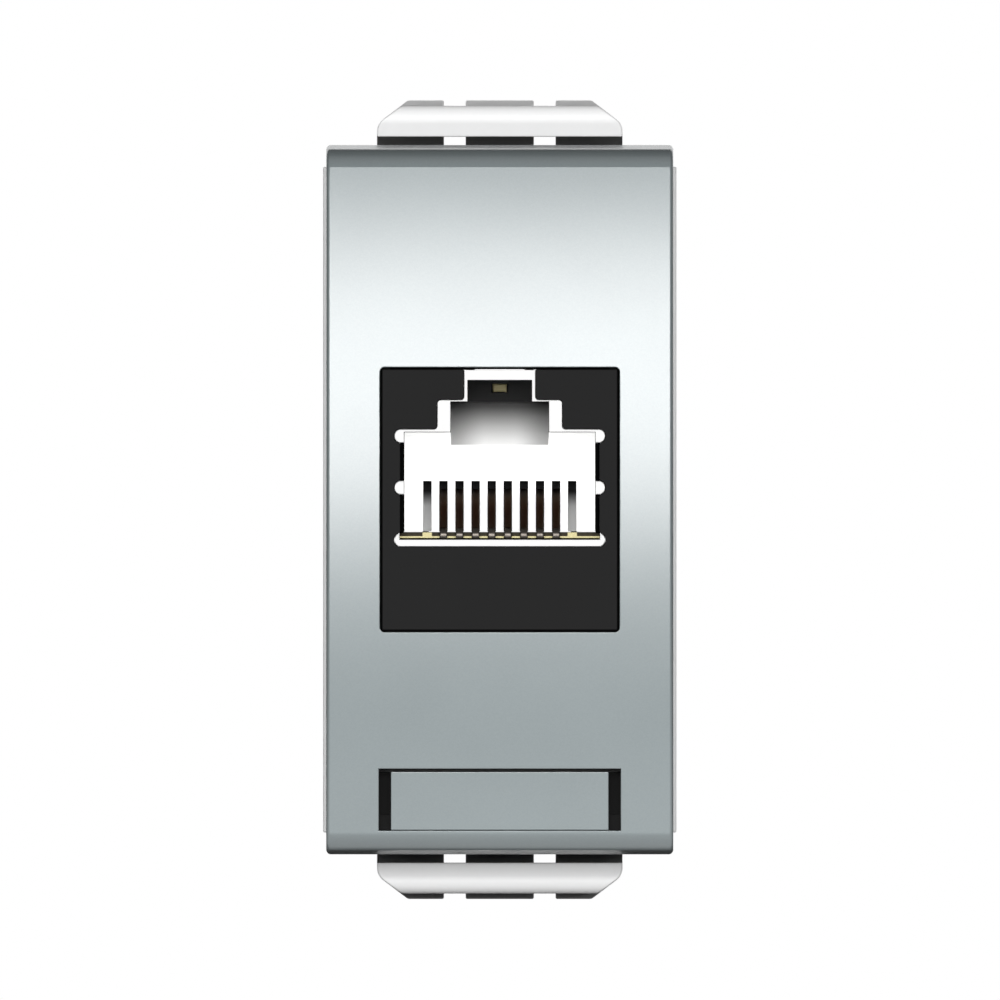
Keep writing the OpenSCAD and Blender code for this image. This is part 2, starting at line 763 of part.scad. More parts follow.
// Side view of a wire slot with its flared mouth
module wire_slot_section() {
    half = wire_slot_w / 2;
    flare = idc_pitch / 3;
    polygon([
        [-half, wire_slot_floor], [half, wire_slot_floor], [half, idc_top - flare],
        [flare, idc_top + seat_gap], [-flare, idc_top + seat_gap], [-half, idc_top - flare]
    ]);
}

module idc_block() {
    groove = shield_t / 2 + seat_gap;
    nose_half = shield_nose_w / 2 + seat_gap;
    nose_top = shield_top - shield_nose_drop + seat_gap;
    nose_low = shield_top - shield_nose_drop - shield_nose_h - seat_gap;
    hook_out = idc_half + seat_gap + cap_t;
    hook_mid = (idc_front + idc_rear) / 2;
    color(black) {
        difference() {
            union() {
                from_front(idc_front, idc_rear) idc_section();
                block([-trough_w / 2 - seat_gap, idc_front, trough_floor - seat_gap],
                      [trough_w / 2 + seat_gap, idc_front + idc_wall, idc_top]);
            }
            for (k = [0:idc_count - 1]) translate([0, idc_y(k), 0]) {
                both_sides() translate([(idc_half + trough_w / 2) / 2, 0, 0])
                    across(idc_half - trough_w / 2 + cap_t) wire_slot_section();
                both_sides() block(
                    [idc_row / 2 - blade_t / 2 - seat_gap, -blade_w / 2 - seat_gap, liner_foot - cut],
                    [idc_row / 2 + blade_t / 2 + seat_gap, blade_w / 2 + seat_gap, idc_top + cut]
                );
            }
            block([-groove, idc_front + idc_wall - seat_gap, trough_floor - cap_t],
                  [groove, idc_rear + cut, idc_top]);
            block([-nose_half, idc_front - cut, nose_low],
                  [nose_half, idc_front + idc_wall, nose_top]);
        }
        both_sides() from_front(hook_mid - block_hook_w / 2, hook_mid + block_hook_w / 2) polygon([
            [idc_half - cap_t, 0], [idc_half, cap_t], [hook_out, 0], [hook_out, tail_low - 2 * cap_t],
            [idc_half + seat_gap, tail_low - 2 * cap_t], [idc_half - cap_t / 2, tail_low - cap_t],
            [idc_half - cap_t / 2, tail_low - seat_gap], [idc_half + seat_gap, tail_low - seat_gap],
            [idc_half + seat_gap, liner_foot], [idc_half - cap_t, liner_foot]
        ]);
    }
}

// Forked blade with a flared slit, and the pin that goes through the board
module idc_blade(i) {
    row = i > idc_count ? 1 : -1;
    k = (i - 1) % idc_count;
    half = blade_w / 2;
    slit = blade_slit / 2;
    flare = blade_w / 3;
    foot = board_top + 2 * seat_gap;
    color(tin) translate([row * idc_row / 2, idc_y(k), 0]) across(blade_t) {
        difference() {
            translate([-half, foot]) square([blade_w, blade_top - foot]);
            polygon([
                [-slit, wire_slot_floor], [slit, wire_slot_floor], [slit, blade_top - flare],
                [flare, blade_top + seat_gap], [-flare, blade_top + seat_gap], [-slit, blade_top - flare]
            ]);
        }
        translate([-blade_pin / 2, board_low - solder_room / 2])
            square([blade_pin, foot - board_low + solder_room]);
    }
}

// Plate that stands in the trough, with a nose through the block's front wall
module pair_shield() {
    rear = idc_rear - cap_t;
    nose_top = shield_top - shield_nose_drop;
    color(gold) {
        block([-shield_t / 2, idc_front + idc_wall, trough_floor - cap_t + seat_gap],
              [shield_t / 2, rear, shield_top]);
        block([-shield_nose_w / 2, idc_front + seat_gap, nose_top - shield_nose_h],
              [shield_nose_w / 2, idc_front + 2 * idc_wall, nose_top]);
    }
}

// Cap over one rail: roof, inner and outer skirt, a notch for each wire
module wire_cap() {
    inside = trough_w / 2 - seat_gap;
    outside = idc_half + seat_gap;
    roof = cap_roof + cap_t;
    color(pearl) difference() {
        from_front(idc_front + fit_gap, idc_rear) difference() {
            polygon([
                [inside - cap_t, cap_low], [outside + cap_t, cap_low], [outside + cap_t, cap_roof],
                [outside, roof], [inside, roof], [inside - cap_t, cap_roof]
            ]);
            translate([inside, cap_low - cut]) square([outside - inside, cap_roof - cap_low + cut]);
        }
        block([0, idc_front, cap_low - cut], [inside, idc_front + idc_wall + fit_gap, cap_roof]);
        for (k = [0:idc_count - 1]) translate([0, idc_y(k), 0]) block(
            [0, -wire_slot_w / 2 - seat_gap, cap_low - cut],
            [outside + 2 * cap_t, wire_slot_w / 2 + seat_gap, (cap_low + cap_roof) / 2]
        );
    }
}

module wire_cap_left() {
    mirror([1, 0, 0]) wire_cap();
}

module wire_cap_right() {
    wire_cap();
}

front_cover();
label_plate();
carrier();
jack_housing();
port_liner();
contact_comb();
contact_board();
idc_block();
pair_shield();
wire_cap_left();
wire_cap_right();
for (i = [1:contact_count]) contact(i);
for (i = [1:2 * idc_count]) idc_blade(i);
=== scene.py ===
import math

import bmesh
import bpy
from bpy.props import FloatProperty, FloatVectorProperty, IntProperty, PointerProperty
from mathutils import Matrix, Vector


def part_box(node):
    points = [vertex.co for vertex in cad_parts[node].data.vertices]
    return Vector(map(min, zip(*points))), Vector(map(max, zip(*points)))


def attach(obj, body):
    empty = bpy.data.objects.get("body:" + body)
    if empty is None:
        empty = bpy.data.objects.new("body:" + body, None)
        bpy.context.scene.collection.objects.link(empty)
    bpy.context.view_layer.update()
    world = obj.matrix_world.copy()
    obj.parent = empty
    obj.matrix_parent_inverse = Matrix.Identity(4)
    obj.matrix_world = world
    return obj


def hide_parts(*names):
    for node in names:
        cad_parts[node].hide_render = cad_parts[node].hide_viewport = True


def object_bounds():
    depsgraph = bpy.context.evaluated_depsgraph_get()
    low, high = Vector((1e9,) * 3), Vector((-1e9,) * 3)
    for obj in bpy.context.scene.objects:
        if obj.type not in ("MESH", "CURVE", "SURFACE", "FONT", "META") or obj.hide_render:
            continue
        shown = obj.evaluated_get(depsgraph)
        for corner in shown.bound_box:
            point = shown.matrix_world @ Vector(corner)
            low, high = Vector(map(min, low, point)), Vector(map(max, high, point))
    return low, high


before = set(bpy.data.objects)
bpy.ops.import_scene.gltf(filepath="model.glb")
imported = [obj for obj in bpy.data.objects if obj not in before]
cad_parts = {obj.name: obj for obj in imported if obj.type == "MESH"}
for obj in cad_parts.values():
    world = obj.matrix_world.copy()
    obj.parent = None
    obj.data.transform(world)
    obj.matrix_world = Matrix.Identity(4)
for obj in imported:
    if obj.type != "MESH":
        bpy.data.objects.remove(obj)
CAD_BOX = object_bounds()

bl_info = {
    "name": "Data Socket Dresser",
    "version": (1, 0, 0),
    "blender": (4, 5, 0),
    "location": "View3D > Sidebar > Data Socket",
    "description": "Rounds the mouldings of a one-module data socket and gives each its finish",
    "category": "Object",
}

BODY = "root"
MM = 0.001
UP = (0.0, 0.0, 1.0)
EVEN = (1.0, 1.0, 1.0)
BLACK = (0.0, 0.0, 0.0)
WHITE = (1.0, 1.0, 1.0)

# Limits of the mesh work, in metres

FACET = 0.02 * MM           # shorter facets of the solids are merged
NEAR = 0.001 * MM           # places closer than this count as one
ON_ARC = 0.004 * MM         # corners closer than this to an arc get its normals
ON_CREASE = 0.02 * MM       # edges closer than this to the upper crease stay sharp
ON_CROWN = 0.03 * MM        # faces closer than this to the crown belong to it
BAR_CUT = 2e-8              # corners this close to a cut of a catch bar are part of it
BAR_LEVEL = 5e-8            # corners this close to a cut's height are kept
BAR_NIL = 1e-8              # shorter edges are removed after the cuts

# Limits of the mesh work, as angles

FLAT = math.radians(0.2)    # faces that turn by less are joined
SHARP = math.radians(32.0)  # convex edges that turn by more are rounded
SMOOTH = math.radians(30.0)  # edges that turn by less are shaded smooth
ARC_TURN = math.radians(25.0)  # faces that turn further from an arc aren't part of it

# Places where a finish changes, or where shade or emission is painted, in millimetres: each pair
# is the start and the end of a soft step

PAINT_DEPTH = (0.5, 0.7)        # below the crowned face, where the paint ends
ROLL_START = (20.9, 21.1)       # rolled edges above and below the face
COVER_SIDE = (-0.6, -0.4)       # side walls, from their outside
HOOK_START = (0.1, 0.3)         # behind the seat plane, where only the hooks reach
RIM_START = (22.25, 22.35)      # rear rim above the face, where painted shade starts
RIM_SHADE = (6.8, 8.2)          # half the width of the shade painted on the rim below each clip
HOLLOW_FOOT = (21.0, 21.1)      # hollow beneath each catch bar, where shade is painted
HOLLOW_ROOF = (23.03, 23.05)
HOLLOW_SIDE = (7.8, 7.85)
HOLLOW_FRONT = (2.7, 2.8)
HOLLOW_REAR = (8.65, 8.7)
BEHIND_REAR = (0.5, 0.6)        # carrier's front behind the label tile, where shade is painted
BEHIND_TOP = (-16.5, -16.0)
BEHIND_SIDE = (8.4, 8.6)
RECESS_FRONT = (0.25, 0.45)     # inside of the jack, from the liner's front and rear, where shade is painted
RECESS_REAR = (-0.1, 0.0)
RECESS_FOOT = (-3.4, -3.3)
RECESS_ROOF = (8.3, 8.4)
RECESS_SIDE = (6.9, 7.0)
COMB_FRONT = (-0.1, 0.0)        # comb, from its front, where shade is painted
COMB_SKIN = (0.02, 0.06)
POCKET_RISE = (3.46, 5.9)       # latch pocket of the comb, with painted shade and painted emission
POCKET_FOOT = (3.46, 3.5)
POCKET_EDGE = (3.44, 3.46)
POCKET_TURN = (0.8, 3.1)
POCKET_SIDE = (3.08, 3.12)
SLOT_PLACE = 4.59               # empty slot at each end of the comb, painted in shade
SLOT_SIDE = (0.28, 0.29)
SLOT_FRONT = (0.04, 0.1)
SLOT_FOOT = (-0.5, 0.65)
LINE_TOP = (0.12, 0.16)         # plated line and pads of the board, from its foot and front
PAD_PLACE = 4.6
PAD_SIDE = (0.28, 0.32)
PLATED_REAR = (0.3, 0.36)
GLOW_START = (-60.0, -30.0)     # floor before the socket, which glossy paint mirrors
GLOW_END = (-5.0, -2.0)


# Sizes and colours


def length(name, description, millimetres, signed=False):
    """A length in the sidebar, stored in metres."""
    return FloatProperty(
        name=name, description=description, default=millimetres * MM, min=-1.0 if signed else 0.0,
        precision=6, subtype="DISTANCE", unit="LENGTH",
    )


def turn(name, description, degrees):
    """An angle in the sidebar, stored in radians."""
    return FloatProperty(
        name=name, description=description, default=math.radians(degrees),
        subtype="ANGLE", unit="ROTATION",
    )


def amount(name, description, value):
    """A plain number in the sidebar."""
    return FloatProperty(name=name, description=description, default=value, min=0.0)


def colour(name, description, value):
    """A scene-linear colour in the sidebar."""
    return FloatVectorProperty(
        name=name, description=description, default=value, size=3, min=0.0, max=1.0,
        subtype="COLOR",
    )


class SocketSizes(bpy.types.PropertyGroup):
    """Rounding of the moulded edges and the cover's crown."""

    crown_radius: length("Crown radius", "Radius of the cover's crowned face", 139.665)
    crown_step: length("Crown step", "Height of one strip of the crowned face", 0.4)
    crease_height: length("Crease height", "Where the crown meets its rolled edges", 21.08)
    cover_side: length("Cover side", "Rounding of the cover's long edges", 0.26)
    cover_edge: length("Cover edge", "Rounding of the cover's other edges", 0.06)
    label_edge: length("Label edge", "Rounding of the label tile", 0.05)
    carrier_edge: length("Carrier edge", "Rounding of the carrier and its clips", 0.1)
    bar_edge: length("Bar edge", "Rounding of the outline of the catch bars", 0.16)
    bar_height: length("Bar height", "Where the catch bars start above the middle", 22.9)
    bar_front: length("Bar front", "Where the catch bars start behind the seat plane", 2.2)
    bar_rear: length("Bar rear", "Where the catch bars end behind the seat plane", 5.1)
    bar_round: length("Bar round", "Radius of the catch bars' front", 0.8)
    bar_nose: length("Bar nose", "Height of the bars' foremost line above the middle", 24.19)
    bar_strip: length("Bar strip", "Height of one strip of the catch bars' front", 0.1)
    bar_corner: length("Bar corner", "Where the bars' corners start to turn", 23.3)
    jack_edge: length("Jack edge", "Rounding of the black jack", 0.05)
    liner_edge: length("Liner edge", "Rounding of the white port liner", 0.03)
    comb_edge: length("Comb edge", "Rounding of the contact comb", 0.02)
    wire_edge: length("Wire edge", "Rounding of the spring contacts", 0.07)
    sheet_edge: length("Sheet edge", "Rounding of stamped metal and of the board", 0.03)
    block_edge: length("Block edge", "Rounding of the terminal block", 0.08)
    cap_edge: length("Cap edge", "Rounding of the wire caps", 0.07)
    segments: IntProperty(
        name="Segments", description="Facets of each rounding", default=3, min=1, max=6,
    )


class SocketColours(bpy.types.PropertyGroup):
    """Colours of the finishes."""

    silver: colour("Silver", "Paint of the cover and the label tile", (0.335, 0.381, 0.391))
    raw: colour("Raw", "Unpainted plastic inside the cover", (0.008, 0.008, 0.008))
    carrier: colour("Carrier", "Pale plastic of the carrier", (0.93, 0.93, 0.93))
    jack: colour("Jack", "Black plastic of the jack", (0.012, 0.012, 0.0122))
    white: colour("White", "White plastic of the port", (0.94, 0.94, 0.935))
    bronze: colour("Bronze", "Metal of the spring contacts", (0.13, 0.116, 0.102))
    bronze_edge: colour("Bronze edge", "Grazing tint of the contacts", (0.2, 0.17, 0.14))
    gold: colour("Gold", "Plating of the board's edge", (0.25, 0.225, 0.125))
    brass: colour("Brass", "Metal of the shield", (0.42, 0.37, 0.21))
    laminate: colour("Laminate", "Resin of the circuit board", (0.04, 0.034, 0.022))
    terminal: colour("Terminal", "Black plastic of the terminal block", (0.02, 0.02, 0.021))
    tin: colour("Tin", "Metal of the terminal blades", (0.66, 0.66, 0.64))
    pearl: colour("Pearl", "Translucent plastic of the wire caps", (0.72, 0.73, 0.72))


class SocketStage(bpy.types.PropertyGroup):
    """Camera, light and floor."""

    frame_width: length("Frame width", "Width of the picture at the socket", 63.4)
    camera_distance: length("Camera distance", "Distance from the socket to the camera", 400.0)
    centre_x: length("Centre X", "Sideways place of the picture's centre", 0.016, signed=True)
    centre_z: length("Centre Z", "Height of the picture's centre", -0.019, signed=True)
    key_distance: length("Key distance", "Distance of both softboxes", 1200.0)
    key_width: length("Key width", "Width of the softbox", 1000.0)
    key_height: length("Key height", "Height of the softbox", 326.0)
    key_lift: turn("Key lift", "Elevation of the softbox above the camera's axis", 6.84)
    key_power: amount("Key power", "Power of the softbox in watts", 10.9)
    fill_width: length("Fill width", "Width of the fill light", 420.0)
    fill_height: length("Fill height", "Height of the fill light", 150.0)
    fill_lift: turn("Fill lift", "Elevation of the fill light above the camera's axis", 2.4)
    fill_power: amount("Fill power", "Power of the fill light in watts", 3.1)
    ambient: amount("Ambient", "Strength of the room's light", 0.2)
    dim: amount("Dim", "How bright the room looks in glossy paint", 0.05)
    screen_distance: length("Screen distance", "Distance of the white screen behind", 350.0)
    screen_width: length("Screen width", "Width of the screen and the ceiling panel", 1200.0)
    screen_height: length("Screen height", "Height of the white screen", 200.0)
    ceiling_height: length("Ceiling height", "Height of the pale ceiling panel", 500.0)
    ceiling_depth: length("Ceiling depth", "Length of the pale ceiling panel", 350.0)
    ceiling_glow: amount("Ceiling", "Strength of the panel in glossy paint", 0.36)
    ceiling_share: amount("Ceiling share", "Share of it that lights dull surfaces", 0.4)
    floor_size: length("Floor size", "Length of the floor", 3000.0)
    floor_gap: length("Floor gap", "Gap between the socket and the floor", 0.2)
    floor_grey: amount("Floor", "Reflectance of the floor", 0.14)
    floor_pale: amount("Floor paper", "Reflectance of the floor as the camera sees it", 0.9)
    floor_white: amount("Floor white", "Share of plain white that the camera sees", 0.75)
    floor_glow: amount("Floor glow", "How bright the floor looks in glossy paint", 0.65)


# Shader maths


class Term:
    """A shader socket that takes part in Python expressions."""

    def __init__(self, finish, socket):
        self.finish = finish
        self.socket = socket

    def maths(self, operation, first, second):
        return self.finish.node("ShaderNodeMath", {"operation": operation}, {0: first, 1: second})

    def __add__(self, other):
        return self.maths("ADD", self, other)

    def __radd__(self, other):
        return self.maths("ADD", other, self)

    def __sub__(self, other):
        return self.maths("SUBTRACT", self, other)

    def __rsub__(self, other):
        return self.maths("SUBTRACT", other, self)

    def __mul__(self, other):
        return self.maths("MULTIPLY", self, other)

    def __rmul__(self, other):
        return self.maths("MULTIPLY", other, self)

    def __truediv__(self, other):
        return self.maths("DIVIDE", self, other)

    def __rtruediv__(self, other):
        return self.maths("DIVIDE", other, self)


class Finish:
    """One node tree: a material's, or the world's."""

    def __init__(self, tree):
        self.tree = tree
        self.tree.nodes.clear()

    def node(self, kind, settings, sockets, output=0):
        """Adds a node: its settings first, then the values or links of its sockets."""
        made = self.tree.nodes.new(kind)
        for key, value in settings.items():
            setattr(made, key, value)
        for key, value in sockets.items():
            socket = made.inputs[key]
            if isinstance(value, Term):
                self.tree.links.new(value.socket, socket)
            elif socket.type == "RGBA" and len(value) == 3:
                socket.default_value = (*value, 1.0)
            else:
                socket.default_value = value
        return Term(self, made.outputs[output])

    def place(self, stretch=EVEN):
        """Object coordinates, stretched where a pattern runs one way."""
        coordinates = self.node("ShaderNodeTexCoord", {}, {}, "Object")
        return self.node("ShaderNodeMapping", {}, {"Vector": coordinates, "Scale": stretch})

    def noise(self, size, detail=2.0, stretch=EVEN):
        """Noise from 0 to 1 whose lumps are about as large as size, in millimetres."""
        return self.node("ShaderNodeTexNoise", {}, {
            "Vector": self.place(stretch), "Scale": 1.0 / (size * MM), "Detail": detail,
        })

    def specks(self, size):
        """A random value from 0 to 1 in each small cell; size in millimetres."""
        sockets = {"Vector": self.place(), "Scale": 1.0 / (size * MM)}
        cells = self.node("ShaderNodeTexVoronoi", {}, sockets, "Color")
        return self.node("ShaderNodeSeparateColor", {}, {"Color": cells})

    def weave(self, direction, scale):
        """Waves along one axis, from 0 to 1."""
        sockets = {"Vector": self.place(), "Scale": scale}
        return self.node("ShaderNodeTexWave", {"bands_direction": direction}, sockets, "Fac")

    def axis(self, name):
        """One Object coordinate, in millimetres."""
        return self.node("ShaderNodeSeparateXYZ", {}, {"Vector": self.place()}, name) / MM

    def size(self, value):
        """A value without its sign."""
        return self.node("ShaderNodeMath", {"operation": "ABSOLUTE"}, {0: value})

    def root(self, value):
        """The square root of a value."""
        return self.node("ShaderNodeMath", {"operation": "SQRT"}, {0: value})

    def ramp(self, value, low, high):
        """0 below low, 1 above high, even between them."""
        sockets = {"Value": value, "From Min": low, "From Max": high}
        return self.node("ShaderNodeMapRange", {}, sockets)

    def step(self, value, low, high):
        """0 below low, 1 above high, smooth between them."""
        settings = {"interpolation_type": "SMOOTHSTEP"}
        sockets = {"Value": value, "From Min": low, "From Max": high}
        return self.node("ShaderNodeMapRange", settings, sockets)

    def fall(self, value, low, high):
        """1 below low, 0 above high, smooth between them."""
        return 1.0 - self.step(value, low, high)

    def blend(self, factor, first, second):
        """A colour between two colours."""
        sockets = {0: factor, 6: first, 7: second}
        return self.node("ShaderNodeMix", {"data_type": "RGBA"}, sockets, 2)

    def bump(self, height, strength, depth):
        """A normal from a height; depth in millimetres."""
        return self.node("ShaderNodeBump", {}, {
            "Height": height, "Strength": strength, "Distance": depth * MM,
        })

    def ray(self, kind):
        """1 for rays of one kind, for the stage alone."""
        return self.node("ShaderNodeLightPath", {}, {}, kind)

    def matt(self, grey):
        """A matt grey shader, for the stage alone."""
        return self.node("ShaderNodeBsdfDiffuse", {}, {"Color": (grey, grey, grey)})

    def light(self, strength):
        """A white shining shader, for the stage alone."""
        return self.node("ShaderNodeEmission", {}, {"Color": WHITE, "Strength": strength})

    def mix(self, factor, first, second):
        """A shader between two shaders."""
        return self.node("ShaderNodeMixShader", {}, {0: factor, 1: first, 2: second})

    def surface(self, sockets):
        """The Principled shader at the tree's end."""
        self.end(self.node("ShaderNodeBsdfPrincipled", {}, sockets))

    def end(self, shader, kind="ShaderNodeOutputMaterial"):
        """The tree's output."""
        output = self.tree.nodes.new(kind)
        self.tree.links.new(shader.socket, output.inputs["Surface"])


def shade(value, factor):
    """A colour made lighter or darker."""
    return tuple(min(1.0, part * factor) for part in value)


def new_finish(name):
    """A new material and its node tree."""
    material = bpy.data.materials.new(name)
    material.use_nodes = True
    return material, Finish(material.node_tree)


# Finishes


def silver_paint(name, base, raw, crown_radius):
    """Silver flake paint beneath a satin lacquer, with shade painted on the rear rim below each
    clip; bare plastic inside the moulding.
    """
    metal, painted_rim_tone = 0.85, 0.55
    material, finish = new_finish(name)
    low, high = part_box("front_cover")
    across, back, height = finish.size(finish.axis("X")), finish.axis("Y"), finish.axis("Z")
    depth = back - (low[1] + crown_radius) / MM
    below = crown_radius / MM - finish.root(depth * depth + height * height)
    inside = finish.step(below, *PAINT_DEPTH) * finish.fall(finish.size(height), *ROLL_START)
    inside = inside * finish.fall(across - high[0] / MM, *COVER_SIDE)
    hooks = finish.step(back, *HOOK_START)
    bare = inside + hooks - inside * hooks
    # Painted shade on the rear rim below each clip: darker paint and less lacquer there.
    painted_rim_shade = finish.step(height, *RIM_START) * finish.fall(across, *RIM_SHADE)
    flakes = finish.blend(finish.specks(0.07), shade(base, 0.98), shade(base, 1.02))
    flakes = finish.blend(painted_rim_shade, flakes, shade(base, painted_rim_tone))
    finish.surface({
        "Base Color": finish.blend(bare, flakes, raw),
        "Metallic": metal - metal * bare,
        "Roughness": 0.66 + 0.04 * finish.noise(6.0),
        "Specular IOR Level": 0.2,
        "Coat Weight": (1.0 - bare) * (1.0 - 0.4 * painted_rim_shade),
        "Coat Roughness": 0.23,
        "Coat IOR": 1.76,
        "Normal": finish.bump(finish.noise(0.9, 3.0), strength=0.015, depth=0.008),
    })
    return material


def moulded_plastic(name, base, grain, gloss, level, depth, spread, painted_shade_mask=None, painted_emission_mask=None):
    """Moulded plastic with a fine grain; darker and rougher in painted shade, shining by itself
    in painted emission.
    """
    painted_shade_tone, painted_emission_tone = 0.04, 0.6
    material, finish = new_finish(name)
    fine = finish.noise(grain, 4.0)
    flow = finish.noise(5.0, 2.0, (1.0, 1.0, 0.4))
    tone = finish.blend(
        fine * 0.6 + flow * 0.4, shade(base, 1.0 - spread), shade(base, 1.0 + spread),
    )
    dull, painted_emission = 0.0, BLACK
    # Painted shade: the colour darkens and the roughness rises where the mask says so.
    if painted_shade_mask:
        dull = painted_shade_mask(finish)
        tone = finish.blend(dull, tone, shade(base, painted_shade_tone))
    # Painted light: an emission that makes the surface shine by itself where the mask says so.
    if painted_emission_mask:
        painted_emission = finish.blend(painted_emission_mask(finish) * (1.0 - dull), BLACK, shade(base, painted_emission_tone))
    finish.surface({
        "Base Color": tone,
        "Emission Color": painted_emission,
        "Emission Strength": 1.0,
        "Roughness": gloss + 0.06 * fine + (1.0 - gloss) * dull,
        "Specular IOR Level": level,
        "Normal": finish.bump(fine, strength=0.2, depth=depth),
    })
    return material


def carrier_painted_shade(finish):
    """Painted shade on the carrier: the hollow beneath each catch bar, and its front behind the
    label.
    """
    strength = 0.8
    across, depth, height = finish.size(finish.axis("X")), finish.axis("Y"), finish.axis("Z")
    away = finish.size(height)
    hollow = finish.step(away, *HOLLOW_FOOT) * finish.fall(away, *HOLLOW_ROOF)
    hollow = hollow * finish.fall(across, *HOLLOW_SIDE)
    hollow = hollow * finish.step(depth, *HOLLOW_FRONT) * finish.fall(depth, *HOLLOW_REAR)
    behind = finish.fall(depth, *BEHIND_REAR) * finish.fall(height, *BEHIND_TOP)
    behind = behind * finish.fall(across, *BEHIND_SIDE)
    return strength * (hollow + behind)


def jack_painted_shade(finish):
    """Painted shade on what lies well below the jack's face, within the port."""
    low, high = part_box("port_liner")
    across, depth, height = finish.size(finish.axis("X")), finish.axis("Y"), finish.axis("Z")
    deep = finish.step(depth - low[1] / MM, *RECESS_FRONT)
    deep = deep * finish.fall(depth - high[1] / MM, *RECESS_REAR)
    within = finish.step(height, *RECESS_FOOT) * finish.fall(height, *RECESS_ROOF)
    return deep * within * finish.fall(across, *RECESS_SIDE)


def comb_painted_shade(finish):
    """Painted shade in the comb: its pocket, darker towards roof and sides, and its empty slots.
    """
    roof_shade, side_shade = 0.85, 0.5
    across, height = finish.size(finish.axis("X")), finish.axis("Z")
    depth = finish.axis("Y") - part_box("contact_comb")[0][1] / MM
    rise = finish.ramp(height, *POCKET_RISE)
    side = finish.step(across, *POCKET_TURN) * finish.step(height, *POCKET_FOOT)
    pocket = 1.0 - (1.0 - roof_shade * rise) * (1.0 - side_shade * side)
    pocket = pocket * finish.fall(across, *POCKET_SIDE)
    slot = finish.fall(finish.size(across - SLOT_PLACE), *SLOT_SIDE)
    slot = slot * finish.step(depth, *SLOT_FRONT) * finish.step(height, *SLOT_FOOT)
    return finish.step(depth, *COMB_FRONT) * (pocket + slot)


def comb_painted_emission(finish):
    """Painted light: the comb's front wall shines by itself, less in its pocket, none in its
    slots.
    """
    pocket_glow = 0.12
    across, height = finish.size(finish.axis("X")), finish.axis("Z")
    depth = finish.axis("Y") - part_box("contact_comb")[0][1] / MM
    wall = finish.fall(depth, *COMB_SKIN)
    pocket = finish.step(height, *POCKET_EDGE) * finish.fall(across, *POCKET_SIDE)
    return wall + pocket * (pocket_glow - wall)


def drawn_metal(name, base, gloss, edge=WHITE):
    """Plated metal with lines along its drawing direction."""
    material, finish = new_finish(name)
    lines = finish.noise(0.08, 3.0, (1.0, 0.05, 0.05))
    stain = finish.noise(1.4, 3.0)
    finish.surface({
        "Base Color": finish.blend(stain, shade(base, 0.8), shade(base, 1.12)),
        "Metallic": 1.0,
        "Specular Tint": edge,
        "Roughness": gloss + 0.1 * lines,
        "Normal": finish.bump(lines, strength=0.08, depth=0.006),
    })
    return material


def circuit_board(name, resin, gold):
    """Glass-fibre laminate with a plated line and pads along its front edge."""
    thread = 900.0
    material, finish = new_finish(name)
    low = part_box("contact_board")[0]
    weave = finish.weave("X", thread) * 0.5 + finish.weave("Y", thread) * 0.5
    cloth = finish.blend(weave, shade(resin, 0.8), shade(resin, 1.15))
    line = finish.fall(finish.axis("Z") - low[2] / MM, *LINE_TOP)
    pad = finish.fall(finish.size(finish.size(finish.axis("X")) - PAD_PLACE), *PAD_SIDE)
    front = finish.fall(finish.axis("Y") - low[1] / MM, *PLATED_REAR)
    plated = (line + pad - line * pad) * front
    finish.surface({
        "Base Color": finish.blend(plated, cloth, gold),
        "Metallic": plated,
        "Roughness": 0.6 - 0.2 * plated,
        "Specular IOR Level": 0.1,
        "Normal": finish.bump(weave, strength=0.1, depth=0.01),
    })
    return material


# Pieces


def cad_copy(node):
    """The node's solid with its loose triangles and tiny facets merged and flat faces joined."""
    mesh = bmesh.new()
    mesh.from_mesh(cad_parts[node].data)
    bmesh.ops.remove_doubles(mesh, verts=mesh.verts, dist=FACET)
    bmesh.ops.dissolve_limit(
        mesh, angle_limit=FLAT, verts=mesh.verts, edges=mesh.edges, use_dissolve_boundaries=False,
    )
    return mesh


def sharp_edges(mesh):
    """Convex edges that turn enough to be rounded."""
    return [
        edge for edge in mesh.edges
        if len(edge.link_faces) == 2 and edge.is_convex and edge.calc_face_angle() > SHARP
    ]


def round_edges(mesh, edges, width, segments):
    """Rounds the edges and returns the new faces."""
    made = bmesh.ops.bevel(
        mesh, geom=edges, offset=width, offset_type="OFFSET", segments=segments, profile=0.5,
        affect="EDGES", clamp_overlap=False, material=-1, loop_slide=True, miter_outer="ARC",
        face_strength_mode="ALL",
    )
    return made["faces"]


def edges_of(faces):
    """The edges of the faces, each once, in the order of the faces."""
    return list(dict.fromkeys(edge for face in faces for edge in face.edges))


def corners_of(faces):
    """The corners of the faces, each once, in the order of the faces."""
    return list(dict.fromkeys(vert for face in faces for vert in face.verts))


def cut_level(mesh, faces, height, near):
    """Cuts the faces at one height."""
    bmesh.ops.bisect_plane(
        mesh, geom=[*faces, *edges_of(faces), *corners_of(faces)], dist=near,
        plane_co=(0.0, 0.0, height), plane_no=UP,
    )


def join_strips(mesh, faces):
    """Joins the faces between each two level cuts into one."""
    strips, rim = set(faces), corners_of(faces)
    slanted = [
        edge for edge in edges_of(faces)
        if abs(edge.verts[0].co.z - edge.verts[1].co.z) > NEAR
        and strips.issuperset(edge.link_faces)
    ]
    bmesh.ops.dissolve_edges(mesh, use_verts=False, edges=slanted)
    loose = [vert for vert in rim if vert.is_valid and len(vert.link_edges) == 2]
    bmesh.ops.dissolve_verts(mesh, verts=loose)


